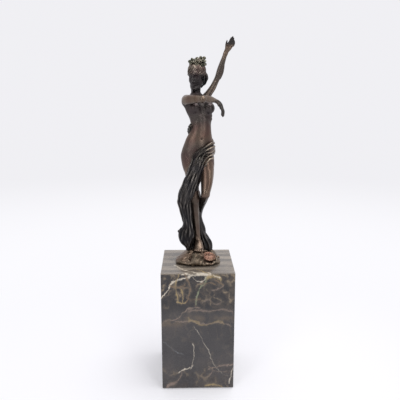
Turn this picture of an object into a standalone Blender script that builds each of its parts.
"""A cast bronze dancer on a rock mound, clamped by a threaded rod to a square marble plinth.

Run it with blender --background --python part.py, or from Blender's text editor.
The frame is +X to the figure's left as seen from the front, +Y to the back and +Z up, and the
origin is the middle of the felt's underside. Positions below are in millimetres and are turned
into metres as the meshes are made.
"""

import math

import bmesh
import bpy
from mathutils import Matrix, Vector

MM = 0.001
GAP = 0.3

# Plinth, felt and fixings
PLINTH_SIDE = 80.0
PLINTH_TOP = 138.3
PLINTH_ARRIS = 0.6
FELT_SIDE = 76.0
FELT_THICKNESS = 0.8
BORE_RADIUS = 4.5
COUNTERBORE_RADIUS = 15.0
COUNTERBORE_DEPTH = 16.0
ROD_RADIUS = 3.0
ROD_BOTTOM = 4.0
ROD_TOP = 146.5
ROD_CHAMFER = 0.6
NUT_ACROSS_FLATS = 10.0
NUT_HEIGHT = 5.0
WASHER_RADIUS = 9.0
WASHER_THICKNESS = 1.6
SPRING_WASHER_RADIUS = 5.4
SPRING_WASHER_SLOT = 1.0

# Mound
MOUND_BOTTOM = PLINTH_TOP + GAP
MOUND_HALF_WIDTH = 25.0
MOUND_HALF_DEPTH = 20.0
MOUND_CENTRE = (0.3, 2.0)
MOUND_PROFILE = (
    (0.0, 0.95),
    (2.5, 1.0),
    (6.0, 0.98),
    (9.0, 0.93),
    (11.5, 0.83),
    (13.2, 0.66),
    (14.2, 0.36),
)

# Seal let into the mound
SEAL_CENTRE = (13.3, -6.5, 145.6)
SEAL_NORMAL = (0.15, -0.28, 0.95)
SEAL_RADIUS = 7.8
SEAL_THICKNESS = 1.6
SEAL_RIM = 1.1
SEAL_DISH = 0.45

SEAL_SEAT_HEIGHT = 14.0

PIN_RADIUS = 1.2
HIP_PIN_RADIUS = 1.6
HIP_PIN_REACH = 7.0
HIP_JOINT = 250.0
SHARP_ANGLE = math.radians(40)

# Limbs: centre x, y, z, then the half-width and the half-depth of the section
TORSO = (
    (0.8, 1.2, HIP_JOINT, 17.3, 11.6),
    (-0.3, 1.0, 260.0, 17.9, 12.0),
    (0.6, 0.5, 270.0, 16.0, 11.2),
    (1.9, 0.0, 278.0, 13.9, 10.0),
    (3.0, 0.0, 286.0, 12.0, 8.8),
    (3.4, 0.2, 294.5, 10.8, 8.0),
    (2.6, 0.4, 303.0, 13.2, 8.6),
    (0.4, 0.6, 311.0, 14.2, 8.4),
    (-1.2, 1.2, 317.0, 13.4, 7.4),
    (-1.3, 1.5, 320.5, 10.0, 6.4),
    (-1.0, 1.5, 323.0, 6.6, 5.4),
)
BREAST_CENTRES = ((-2.9, -6.2, 311.2), (12.2, -2.4, 311.0))
BREAST_RADIUS = 6.4

NECK = (
    (-0.9, 1.8, 318.5, 3.2, 3.2),
    (-1.1, 1.6, 322.0, 4.9, 4.9),
    (-1.4, 1.2, 325.0, 5.2, 5.2),
    (-1.0, 0.0, 331.0, 5.3, 5.4),
    (-0.2, 0.2, 338.0, 5.6, 6.2),
)
SKULL = (
    (-2.4, -6.2, 329.2, 1.8, 1.6),
    (-2.1, -5.2, 330.6, 3.6, 3.4),
    (-1.2, -3.4, 334.5, 6.0, 6.4),
    (-0.2, -1.6, 340.0, 7.6, 8.4),
    (0.3, -0.8, 346.0, 7.9, 8.8),
    (0.8, -0.2, 352.0, 7.0, 7.8),
    (1.0, 0.2, 356.5, 4.4, 5.0),
    (1.0, 0.4, 358.2, 1.6, 1.8),
)
HAIR_CENTRE = (0.9, 0.6, 348.2)
HAIR_RADII = (9.6, 10.4, 11.6)
HAIRLINE_POINT = (-3.0, -9.0, 347.5)
HAIRLINE_NORMAL = (0.32, 0.55, 0.77)
TOPKNOT_CENTRE = (3.6, 1.6, 359.0)
TOPKNOT_RADIUS = 5.0
WREATH_CENTRE = (0.3, 0.2, 356.2)
WREATH_RADIUS = 7.2
WREATH_THICKNESS = 2.6
WREATH_LUMPS = 7
WREATH_LUMP_HEIGHT = 0.55

RAISED_ARM = (
    (7.0, 2.0, 315.4, 4.4, 4.6),
    (9.1, 3.2, 320.2, 4.5, 4.8),
    (12.6, 5.0, 326.6, 4.4, 4.6),
    (17.4, 7.0, 334.0, 4.2, 4.4),
    (21.3, 8.0, 340.8, 3.6, 3.7),
    (23.4, 7.8, 347.6, 3.8, 3.8),
    (25.4, 6.6, 355.2, 3.4, 3.3),
    (28.0, 4.9, 363.0, 2.6, 2.5),
    (29.4, 4.0, 367.6, 2.7, 2.0),
    (32.4, 3.4, 371.6, 4.0, 2.0),
    (34.8, 2.8, 376.0, 3.4, 1.9),
    (36.0, 2.0, 380.6, 2.4, 1.6),
    (36.4, 1.2, 384.0, 0.8, 0.7),
)
RAISED_THUMB = (
    (30.0, 3.6, 370.0, 1.6, 1.4),
    (29.9, 1.6, 374.2, 1.4, 1.3),
    (30.2, 0.2, 377.6, 1.1, 1.1),
    (30.3, -0.6, 379.4, 0.5, 0.5),
)
FOLDED_UPPER_ARM = (
    (-8.6, -2.2, 316.8, 6.0, 5.8),
    (-11.0, -3.6, 318.6, 5.3, 5.3),
    (-10.2, -9.5, 319.8, 4.9, 4.9),
    (-5.6, -17.0, 320.2, 4.6, 4.6),
    (0.4, -24.6, 320.2, 4.2, 4.2),
    (4.4, -29.4, 320.0, 3.8, 3.8),
    (6.4, -31.6, 319.9, 1.6, 1.6),
)
FOLDED_FOREARM = (
    (3.2, -31.4, 320.0, 1.4, 1.4),
    (4.6, -29.6, 320.0, 3.5, 3.7),
    (9.0, -23.6, 320.0, 3.7, 3.8),
    (14.4, -16.4, 319.6, 3.1, 3.3),
    (19.9, -9.2, 317.8, 2.2, 2.6),
    (22.8, -7.6, 315.4, 3.0, 2.4),
    (25.2, -7.2, 311.4, 3.2, 2.0),
    (26.2, -7.0, 306.6, 2.6, 1.6),
    (26.2, -7.0, 302.8, 1.0, 0.8),
)
FOLDED_THUMB = (
    (20.6, -9.6, 316.4, 1.5, 1.4),
    (21.0, -11.2, 313.6, 1.3, 1.2),
    (21.6, -11.6, 311.2, 0.7, 0.7),
)

STANDING_LEG = (
    (-8.0, 0.6, HIP_JOINT - GAP, 8.9, 10.4),
    (-7.0, -1.0, 239.0, 8.4, 9.4),
    (-4.8, -3.6, 227.0, 7.0, 7.6),
    (-2.6, -5.2, 216.0, 5.4, 5.8),
    (-2.2, -3.4, 208.0, 4.9, 5.3),
    (-2.1, -1.4, 199.0, 4.5, 5.4),
    (-0.6, -0.4, 188.0, 3.8, 4.6),
    (0.8, -0.2, 176.0, 3.0, 3.4),
    (1.5, 0.0, 166.0, 2.9, 3.2),
    (1.6, 0.6, 158.0, 3.4, 3.8),
    (1.6, 1.0, 154.2, 3.2, 3.4),
)
STANDING_FOOT = (
    (1.4, 5.6, 156.2, 2.4, 2.0),
    (1.5, 3.6, 157.0, 3.6, 3.6),
    (1.7, -2.0, 157.0, 4.2, 3.9),
    (2.0, -7.0, 155.4, 4.8, 2.9),
    (2.2, -11.5, 154.0, 4.9, 2.1),
    (2.2, -15.0, 153.5, 3.4, 1.4),
)
BENT_THIGH = (
    (9.7, 0.4, HIP_JOINT - GAP, 8.4, 10.4),
    (10.5, -2.8, 240.0, 7.4, 9.0),
    (10.0, -6.8, 229.6, 6.1, 7.0),
    (8.8, -9.8, 220.6, 4.7, 5.4),
    (8.2, -10.8, 216.4, 3.2, 3.6),
)
BENT_SHIN = (
    (8.8, -11.0, 219.4, 3.4, 3.6),
    (7.6, -5.2, 213.0, 4.4, 4.6),
    (4.8, 2.8, 205.4, 4.5, 5.0),
    (2.0, 11.0, 194.8, 3.9, 4.3),
    (3.2, 18.6, 182.2, 2.7, 3.0),
    (4.4, 20.6, 177.6, 2.7, 3.2),
)
BENT_FOOT = (
    (3.9, 20.9, 179.2, 2.2, 2.4),
    (6.0, 21.0, 173.4, 3.2, 3.6),
    (9.6, 19.0, 165.0, 3.6, 3.4),
    (13.3, 15.8, 157.4, 4.2, 2.7),
    (16.4, 12.4, 152.8, 3.0, 1.5),
)

# Cloth
HIP_WRAP = (
    (13.6, 9.2, 271.0, 2.0, 5.0),
    (16.6, 3.4, 268.0, 2.2, 8.0),
    (16.5, -3.6, 266.4, 2.4, 8.6),
    (12.6, -9.2, 265.2, 2.6, 7.6),
    (5.6, -12.4, 264.4, 2.4, 5.2),
    (-1.0, -13.2, 261.6, 2.2, 4.0),
    (-5.2, -12.6, 258.6, 1.9, 3.4),
)
FRONT_FALL = (
    (0.2, -9.6, 255.4, 7.2, 4.2),
    (-1.4, -9.2, 250.0, 9.4, 5.6),
    (-4.4, -7.0, 240.0, 9.6, 7.4),
    (-8.0, -5.4, 229.0, 9.6, 8.0),
    (-13.2, -3.6, 214.0, 9.2, 9.0),
    (-12.4, -3.2, 202.0, 6.8, 8.6),
    (-10.4, -3.0, 188.0, 5.9, 8.0),
    (-12.4, -2.8, 176.0, 9.6, 8.2),
    (-12.0, -2.6, 167.0, 9.4, 8.0),
    (-9.2, -2.4, 158.0, 5.4, 6.4),
    (-8.0, -2.2, 151.0, 3.8, 5.0),
)
BACK_SASH = (
    (-8.6, 0.8, 288.8, 1.4, 3.6),
    (-6.2, 6.6, 287.2, 2.0, 4.0),
    (0.6, 9.8, 284.2, 2.4, 4.4),
    (8.6, 9.6, 280.4, 2.4, 4.6),
    (13.8, 7.0, 277.4, 1.8, 4.2),
)
BACK_FALL = (
    (2.0, 8.6, 279.0, 9.0, 4.0),
    (0.6, 11.2, 268.0, 12.4, 4.6),
    (-1.6, 12.8, 257.0, 12.8, 4.8),
    (-4.2, 12.4, 246.0, 11.4, 5.0),
    (-7.2, 10.8, 234.0, 7.9, 5.0),
    (-9.4, 10.6, 218.0, 7.6, 5.0),
    (-9.2, 10.6, 202.0, 7.2, 5.0),
    (-8.0, 10.2, 188.0, 6.0, 4.4),
    (-6.6, 10.2, 174.0, 6.6, 4.6),
    (-5.4, 10.0, 161.0, 7.0, 4.8),
    (-5.0, 9.8, 151.0, 7.4, 5.0),
)

# Colours as red, green, blue, then metallic and roughness
FINISHES = {
    "brown_bronze": ((0.085, 0.062, 0.045), 1.0, 0.38),
    "dark_bronze": ((0.035, 0.032, 0.030), 1.0, 0.45),
    "gold_bronze": ((0.150, 0.120, 0.060), 1.0, 0.42),
    "red_copper": ((0.380, 0.170, 0.110), 1.0, 0.42),
    "dark_marble": ((0.070, 0.060, 0.062), 0.0, 0.16),
    "zinc_steel": ((0.450, 0.450, 0.440), 1.0, 0.35),
    "brass_pin": ((0.450, 0.330, 0.130), 1.0, 0.35),
    "black_felt": ((0.020, 0.022, 0.020), 0.0, 0.95),
}


def clear_scene():
    for obj in list(bpy.data.objects):
        bpy.data.objects.remove(obj, do_unlink=True)


def make_materials():
    made = {}
    for name, (colour, metallic, roughness) in FINISHES.items():
        material = bpy.data.materials.new(name)
        material.use_nodes = True
        shader = material.node_tree.nodes["Principled BSDF"]
        shader.inputs["Base Color"].default_value = (*colour, 1.0)
        shader.inputs["Metallic"].default_value = metallic
        shader.inputs["Roughness"].default_value = roughness
        material.diffuse_color = (*colour, 1.0)
        made[name] = material
    return made


# ---------------------------------------------------------------- building blocks


def solid_from(name, bm):
    """Turns a bmesh in millimetres into an object in metres, with its faces pointing out."""
    bmesh.ops.transform(bm, matrix=Matrix.Scale(MM, 4), verts=bm.verts)
    bmesh.ops.recalc_face_normals(bm, faces=bm.faces)
    mesh = bpy.data.meshes.new(name)
    bm.to_mesh(mesh)
    bm.free()
    mesh.shade_smooth()
    mesh.set_sharp_from_angle(angle=SHARP_ANGLE)
    obj = bpy.data.objects.new(name, mesh)
    bpy.context.scene.collection.objects.link(obj)
    return obj


def helper(obj):
    """Marks a cutter or a shell that only shapes another object."""
    obj.hide_render = True
    obj.display_type = "WIRE"
    return obj


def combine(target, other, operation):
    modifier = target.modifiers.new(other.name, "BOOLEAN")
    modifier.operation = operation
    modifier.object = helper(other)


def bridge(bm, rings):
    """Joins each ring of vertices to the next and closes both ends."""
    count = len(rings[0])
    for low, high in zip(rings, rings[1:]):
        for k in range(count):
            after = (k + 1) % count
            bm.faces.new((low[k], low[after], high[after], high[k]))
    bm.faces.new(list(reversed(rings[0])))
    bm.faces.new(rings[-1])


def between(p, q, r, w, t):
    """The Catmull-Rom value at t from q to r, with p before them and w after."""
    slope = r - p
    bend = 2 * p - 5 * q + 4 * r - w
    twist = 3 * (q - r) - p + w
    return 0.5 * (2 * q + slope * t + bend * t**2 + twist * t**3)


def spline(stations, steps):
    """Catmull-Rom points through the stations, in every number that a station holds."""
    last = len(stations) - 1
    out = []
    for i in range(last):
        a = stations[max(i - 1, 0)]
        b = stations[i]
        c = stations[i + 1]
        d = stations[min(i + 2, last)]
        for s in range(steps):
            out.append(tuple(between(p, q, r, w, s / steps) for p, q, r, w in zip(a, b, c, d)))
    out.append(stations[last])
    return out


def limb(name, stations, grow=0.0, side=(1, 0, 0), sides=12, steps=2, level=False):
    """A closed tube through the stations; grow makes it that much bigger all over.

    side is the direction of a section's half-width. With level, every section is horizontal.
    """
    points = spline(stations, steps)
    last = len(points) - 1
    bm = bmesh.new()
    rings = []
    for i, (x, y, z, half_width, half_depth) in enumerate(points):
        before = Vector(points[max(i - 1, 0)][:3])
        after = Vector(points[min(i + 1, last)][:3])
        tangent = (after - before).normalized()
        if level:
            tangent = Vector((0, 0, 1.0 if after.z > before.z else -1.0))
        across = Vector(side) - tangent * tangent.dot(Vector(side))
        across.normalize()
        depth = tangent.cross(across)
        centre = Vector((x, y, z))
        if i == 0:
            centre -= tangent * grow
        if i == last:
            centre += tangent * grow
        ring = []
        for k in range(sides):
            angle = math.tau * k / sides
            wide = across * (half_width + grow) * math.cos(angle)
            deep = depth * (half_depth + grow) * math.sin(angle)
            ring.append(bm.verts.new(centre + wide + deep))
        rings.append(ring)
    bridge(bm, rings)
    return solid_from(name, bm)


def ball(name, centre, radii, grow=0.0, segments=16, rings=10):
    bm = bmesh.new()
    bmesh.ops.create_uvsphere(bm, u_segments=segments, v_segments=rings, radius=1.0)
    size = Vector(radii) + Vector((grow, grow, grow))
    place = Matrix.Translation(centre) @ Matrix.Diagonal((*size, 1.0))
    bmesh.ops.transform(bm, matrix=place, verts=bm.verts)
    return solid_from(name, bm)


def turned(name, profile, sides=24, centre=(0, 0, 0), axis=(0, 0, 1)):
    """A solid of revolution; profile is (radius, height) from the bottom to the top of its wall."""
    turn = Vector((0, 0, 1)).rotation_difference(Vector(axis)).to_matrix().to_4x4()
    place = Matrix.Translation(centre) @ turn
    bm = bmesh.new()
    rings = []
    for radius, height in profile:
        ring = []
        for k in range(sides):
            angle = math.tau * k / sides
            point = Vector((radius * math.cos(angle), radius * math.sin(angle), height))
            ring.append(bm.verts.new(place @ point))
        rings.append(ring)
    bridge(bm, rings)
    return solid_from(name, bm)


def hollow_ring(name, profile, sides, centre):
    """A ring about a vertical axis; profile is the closed loop of (radius, height) in its section."""
    bm = bmesh.new()
    loops = []
    for k in range(sides):
        angle = math.tau * k / sides
        loop = [
            bm.verts.new((centre[0] + r * math.cos(angle), centre[1] + r * math.sin(angle), centre[2] + h))
            for r, h in profile
        ]
        loops.append(loop)
    size = len(profile)
    for k in range(sides):
        here = loops[k]
        there = loops[(k + 1) % sides]
        for j in range(size):
            after = (j + 1) % size
            bm.faces.new((here[j], there[j], there[after], here[after]))
    return solid_from(name, bm)


def block(name, low, high):
    bm = bmesh.new()
    bmesh.ops.create_cube(bm, size=1.0)
    size = Vector(high) - Vector(low)
    middle = (Vector(high) + Vector(low)) / 2
    place = Matrix.Translation(middle) @ Matrix.Diagonal((*size, 1.0))
    bmesh.ops.transform(bm, matrix=place, verts=bm.verts)
    return solid_from(name, bm)


def rod(name, start, end, radius, grow=0.0, sides=12):
    start = Vector(start)
    end = Vector(end)
    length = (end - start).length
    profile = ((radius + grow, -grow), (radius + grow, length + grow))
    return turned(name, profile, sides, start, (end - start).normalized())


def finish(obj, name, material):
    obj.name = name
    obj.data.name = name
    obj.data.materials.clear()
    obj.data.materials.append(material)
    return obj


def casting(name, shells, material):
    """One piece from its shells: the first is the object, and the others are united with it."""
    made = shells(0.0)
    for other in made[1:]:
        combine(made[0], other, "UNION")
    return finish(made[0], name, material)


def keep_clear(target, *pieces):
    """Cuts the target back from each piece, leaving the gap that two castings keep."""
    for shells in pieces:
        for cutter in shells(GAP):
            combine(target, cutter, "DIFFERENCE")


# ---------------------------------------------------------------- shells of the cast pieces


def torso_shells(grow):
    made = [limb("torso_body", TORSO, grow, sides=20, level=True)]
    for k, centre in enumerate(BREAST_CENTRES):
        made.append(ball(f"torso_breast_{k}", centre, [BREAST_RADIUS] * 3, grow))
    return made


def head_shells(grow):
    skull = limb("head_skull", SKULL, grow, sides=16, level=True)
    neck = limb("head_neck", NECK, grow, sides=16, level=True)
    return [skull, neck]


def hair_shells(grow):
    cap = ball("hair_cap", HAIR_CENTRE, HAIR_RADII, grow, 20, 14)
    knot = ball("hair_topknot", TOPKNOT_CENTRE, [TOPKNOT_RADIUS] * 3, grow)
    return [cap, knot]


def wreath_shells(grow):
    """A closed ring of flowers and leaves, its thickness rising at each flower."""
    around = WREATH_LUMPS * 6
    sides = 8
    bm = bmesh.new()
    loops = []
    for k in range(around):
        angle = math.tau * k / around
        thickness = WREATH_THICKNESS + WREATH_LUMP_HEIGHT * math.cos(WREATH_LUMPS * angle) + grow
        loop = []
        for j in range(sides):
            turn = math.tau * j / sides
            radius = WREATH_RADIUS + thickness * math.cos(turn)
            x = WREATH_CENTRE[0] + radius * math.cos(angle)
            y = WREATH_CENTRE[1] + radius * math.sin(angle)
            loop.append(bm.verts.new((x, y, WREATH_CENTRE[2] + thickness * math.sin(turn))))
        loops.append(loop)
    for k in range(around):
        here = loops[k]
        there = loops[(k + 1) % around]
        for j in range(sides):
            after = (j + 1) % sides
            bm.faces.new((here[j], there[j], there[after], here[after]))
    return [solid_from("wreath_ring", bm)]


def raised_arm_shells(grow):
    arm = limb("raised_arm_main", RAISED_ARM, grow)
    thumb = limb("raised_thumb", RAISED_THUMB, grow, sides=8)
    return [arm, thumb]


def folded_arm_shells(grow):
    upper = limb("folded_upper", FOLDED_UPPER_ARM, grow, side=(0, 0, 1))
    forearm = limb("folded_forearm", FOLDED_FOREARM, grow, side=(0.6, 0.8, 0))
    thumb = limb("folded_thumb", FOLDED_THUMB, grow, sides=8)
    return [upper, forearm, thumb]


def standing_leg_shells(grow):
    leg = limb("standing_leg_main", STANDING_LEG, grow, sides=16, level=True)
    foot = limb("standing_foot", STANDING_FOOT, grow)
    return [leg, foot]


def bent_leg_shells(grow):
    thigh = limb("bent_thigh", BENT_THIGH, grow, sides=16, level=True)
    shin = limb("bent_shin", BENT_SHIN, grow)
    foot = limb("bent_foot", BENT_FOOT, grow)
    return [thigh, shin, foot]


def hip_wrap_shells(grow):
    return [limb("hip_wrap_roll", HIP_WRAP, grow, side=(0.6, -0.8, 0.0), sides=12, steps=3)]


def front_fall_shells(grow):
    return [limb("front_fall_cloth", FRONT_FALL, grow, sides=16, level=True)]


def back_sash_shells(grow):
    return [limb("back_sash_roll", BACK_SASH, grow, side=(0.1, 1.0, 0.0), sides=12, steps=3)]


def back_fall_shells(grow):
    return [limb("back_fall_cloth", BACK_FALL, grow, sides=16, level=True)]


def mound_shells(grow):
    """A rock dome with a flat underside: its outline ripples and fades towards the top."""
    around = 48
    bm = bmesh.new()
    rings = []
    for height, scale in MOUND_PROFILE:
        ring = []
        for k in range(around):
            angle = math.tau * k / around
            ripple = 0.035 * math.sin(3 * angle + 0.6) + 0.022 * math.sin(7 * angle + 2.0)
            reach = scale * (1 + ripple * scale)
            x = MOUND_CENTRE[0] + (MOUND_HALF_WIDTH * reach + grow) * math.cos(angle)
            y = MOUND_CENTRE[1] + (MOUND_HALF_DEPTH * reach + grow) * math.sin(angle)
            lift = height + (grow if height > 0 else -grow)
            ring.append(bm.verts.new((x, y, MOUND_BOTTOM + lift)))
        rings.append(ring)
    bridge(bm, rings)
    return [solid_from("mound_rock", bm)]


def seal_shells(grow):
    """The seal's disc; grown, it is the seat that the seal drops into from above."""
    if grow == 0.0:
        half = SEAL_THICKNESS / 2
        profile = (
            (SEAL_RADIUS, -half),
            (SEAL_RADIUS, half),
            (SEAL_RADIUS - SEAL_RIM, half),
            (SEAL_RADIUS - SEAL_RIM - 0.5, half - SEAL_DISH),
        )
        return [turned("seal_disc", profile, 32, SEAL_CENTRE, SEAL_NORMAL)]
    profile = ((SEAL_RADIUS + grow, -SEAL_THICKNESS / 2 - grow), (SEAL_RADIUS + grow, SEAL_SEAT_HEIGHT))
    return [turned("seal_seat", profile, 32, SEAL_CENTRE, SEAL_NORMAL)]


def pin(name, start, end, radius, material, *holders):
    """A dowel and its clearance hole in each piece that it locates."""
    made = finish(rod(name, start, end, radius), name, material)
    for holder in holders:
        combine(holder, rod(f"{name}_hole", start, end, radius, GAP), "DIFFERENCE")
    return made


# ---------------------------------------------------------------- plinth and fixings


def make_plinth(material):
    bottom = FELT_THICKNESS + GAP
    half = PLINTH_SIDE / 2
    plinth = block("marble_plinth", (-half, -half, bottom), (half, half, PLINTH_TOP))
    arris = plinth.modifiers.new("arris", "BEVEL")
    arris.width = PLINTH_ARRIS * MM
    arris.segments = 2
    bore = rod("plinth_bore", (0, 0, 0), (0, 0, PLINTH_TOP + 1), BORE_RADIUS, sides=24)
    combine(plinth, bore, "DIFFERENCE")
    recess_top = bottom + COUNTERBORE_DEPTH
    recess = rod("plinth_counterbore", (0, 0, 0), (0, 0, recess_top), COUNTERBORE_RADIUS, sides=32)
    combine(plinth, recess, "DIFFERENCE")
    finish(plinth, "marble_plinth", material)


def make_felt(material):
    half = FELT_SIDE / 2
    felt = block("felt_sheet", (-half, -half, 0), (half, half, FELT_THICKNESS))
    finish(felt, "felt_sheet", material)


def make_fixings(material):
    """The rod, and under the plinth its washer, spring washer and nut, one below the other."""
    hole = ROD_RADIUS + GAP
    profile = (
        (ROD_RADIUS - ROD_CHAMFER, ROD_BOTTOM),
        (ROD_RADIUS, ROD_BOTTOM + ROD_CHAMFER),
        (ROD_RADIUS, ROD_TOP - ROD_CHAMFER),
        (ROD_RADIUS - ROD_CHAMFER, ROD_TOP),
    )
    finish(turned("fixing_rod", profile, 20), "fixing_rod", material)

    def washer_profile(outer, height):
        return ((hole, 0), (outer, 0), (outer, height), (hole, height))

    washer_bottom = FELT_THICKNESS + GAP + COUNTERBORE_DEPTH - GAP - WASHER_THICKNESS
    flat_profile = washer_profile(WASHER_RADIUS, WASHER_THICKNESS)
    washer = hollow_ring("fixing_washer", flat_profile, 32, (0, 0, washer_bottom))
    finish(washer, "fixing_washer", material)

    spring_bottom = washer_bottom - GAP - WASHER_THICKNESS
    spring_profile = washer_profile(SPRING_WASHER_RADIUS, WASHER_THICKNESS)
    spring = hollow_ring("spring_washer", spring_profile, 32, (0, 0, spring_bottom))
    half_slot = SPRING_WASHER_SLOT / 2
    slot = block("spring_slot", (0, -half_slot, spring_bottom - 1), (10, half_slot, spring_bottom + 3))
    combine(spring, slot, "DIFFERENCE")
    finish(spring, "spring_washer", material)

    nut_top = spring_bottom - GAP
    corner = NUT_ACROSS_FLATS / 2 / math.cos(math.pi / 6)
    nut = turned("fixing_nut", ((corner, nut_top - NUT_HEIGHT), (corner, nut_top)), 6)
    combine(nut, rod("nut_hole", (0, 0, 0), (0, 0, nut_top + 1), hole, sides=20), "DIFFERENCE")
    finish(nut, "fixing_nut", material)


# ---------------------------------------------------------------- the whole


def main():
    clear_scene()
    finishes = make_materials()
    skin = finishes["brown_bronze"]
    cloth = finishes["dark_bronze"]
    gold = finishes["gold_bronze"]
    brass = finishes["brass_pin"]
    make_plinth(finishes["dark_marble"])
    make_felt(finishes["black_felt"])
    make_fixings(finishes["zinc_steel"])

    torso = casting("torso", torso_shells, skin)
    keep_clear(torso, head_shells, raised_arm_shells, folded_arm_shells)
    head = casting("head", head_shells, skin)
    raised_arm = casting("raised_arm", raised_arm_shells, skin)
    folded_arm = casting("folded_arm", folded_arm_shells, skin)
    standing_leg = casting("standing_leg", standing_leg_shells, skin)
    bent_leg = casting("bent_leg", bent_leg_shells, skin)
    keep_clear(bent_leg, standing_leg_shells)

    hair = casting("hair_updo", hair_shells, gold)
    keep_clear(hair, head_shells)
    turn = Vector((0, 0, 1)).rotation_difference(Vector(HAIRLINE_NORMAL)).to_matrix().to_4x4()
    face_side = block("hairline_cut", (-30, -30, -40), (30, 30, 0))
    face_side.data.transform(Matrix.Translation(Vector(HAIRLINE_POINT) * MM) @ turn)
    combine(hair, face_side, "DIFFERENCE")
    wreath = casting("flower_wreath", wreath_shells, gold)
    keep_clear(wreath, hair_shells, head_shells)

    hip_wrap = casting("hip_wrap", hip_wrap_shells, cloth)
    keep_clear(hip_wrap, torso_shells, standing_leg_shells, bent_leg_shells)
    back_sash = casting("back_sash", back_sash_shells, cloth)
    keep_clear(back_sash, torso_shells, hip_wrap_shells)
    front_fall = casting("front_fall", front_fall_shells, cloth)
    keep_clear(front_fall, torso_shells, standing_leg_shells, bent_leg_shells, hip_wrap_shells)
    back_fall = casting("back_fall", back_fall_shells, cloth)
    keep_clear(
        back_fall,
        torso_shells,
        standing_leg_shells,
        bent_leg_shells,
        hip_wrap_shells,
        back_sash_shells,
        front_fall_shells,
    )

    mound = casting("bronze_base", mound_shells, cloth)
    keep_clear(mound, seal_shells, standing_leg_shells, bent_leg_shells)
    keep_clear(mound, front_fall_shells, back_fall_shells)
    rod_hole = rod("mound_hole", (0, 0, PLINTH_TOP - 2), (0, 0, ROD_TOP + 0.6), ROD_RADIUS + GAP, sides=20)
    combine(mound, rod_hole, "DIFFERENCE")
    casting("foundry_seal", seal_shells, finishes["red_copper"])

    standing_low = (-8.0, 0.6, HIP_JOINT - HIP_PIN_REACH)
    standing_high = (-8.0, 0.6, HIP_JOINT + HIP_PIN_REACH)
    bent_low = (9.7, 0.4, HIP_JOINT - HIP_PIN_REACH)
    bent_high = (9.7, 0.4, HIP_JOINT + HIP_PIN_REACH)
    pin("neck_pin", (-0.9, 1.8, 312.5), (-1.2, 1.4, 322.5), PIN_RADIUS, brass, torso, head)
    pin("raised_arm_pin", (4.6, 0.8, 309.5), (8.4, 2.8, 319.0), PIN_RADIUS, brass, torso, raised_arm)
    pin("folded_arm_pin", (-2.6, -0.2, 315.0), (-9.4, -2.4, 316.9), PIN_RADIUS, brass, torso, folded_arm)
    pin("standing_hip_pin", standing_low, standing_high, HIP_PIN_RADIUS, brass, torso, standing_leg)
    pin("bent_hip_pin", bent_low, bent_high, HIP_PIN_RADIUS, brass, torso, bent_leg)
    pin("foot_pin", (1.6, 1.2, 148.0), (1.6, 1.2, 158.5), PIN_RADIUS, brass, mound, standing_leg)
    pin("toe_pin", (14.2, 14.4, 144.0), (13.4, 15.2, 157.0), PIN_RADIUS, brass, mound, bent_leg)


main()
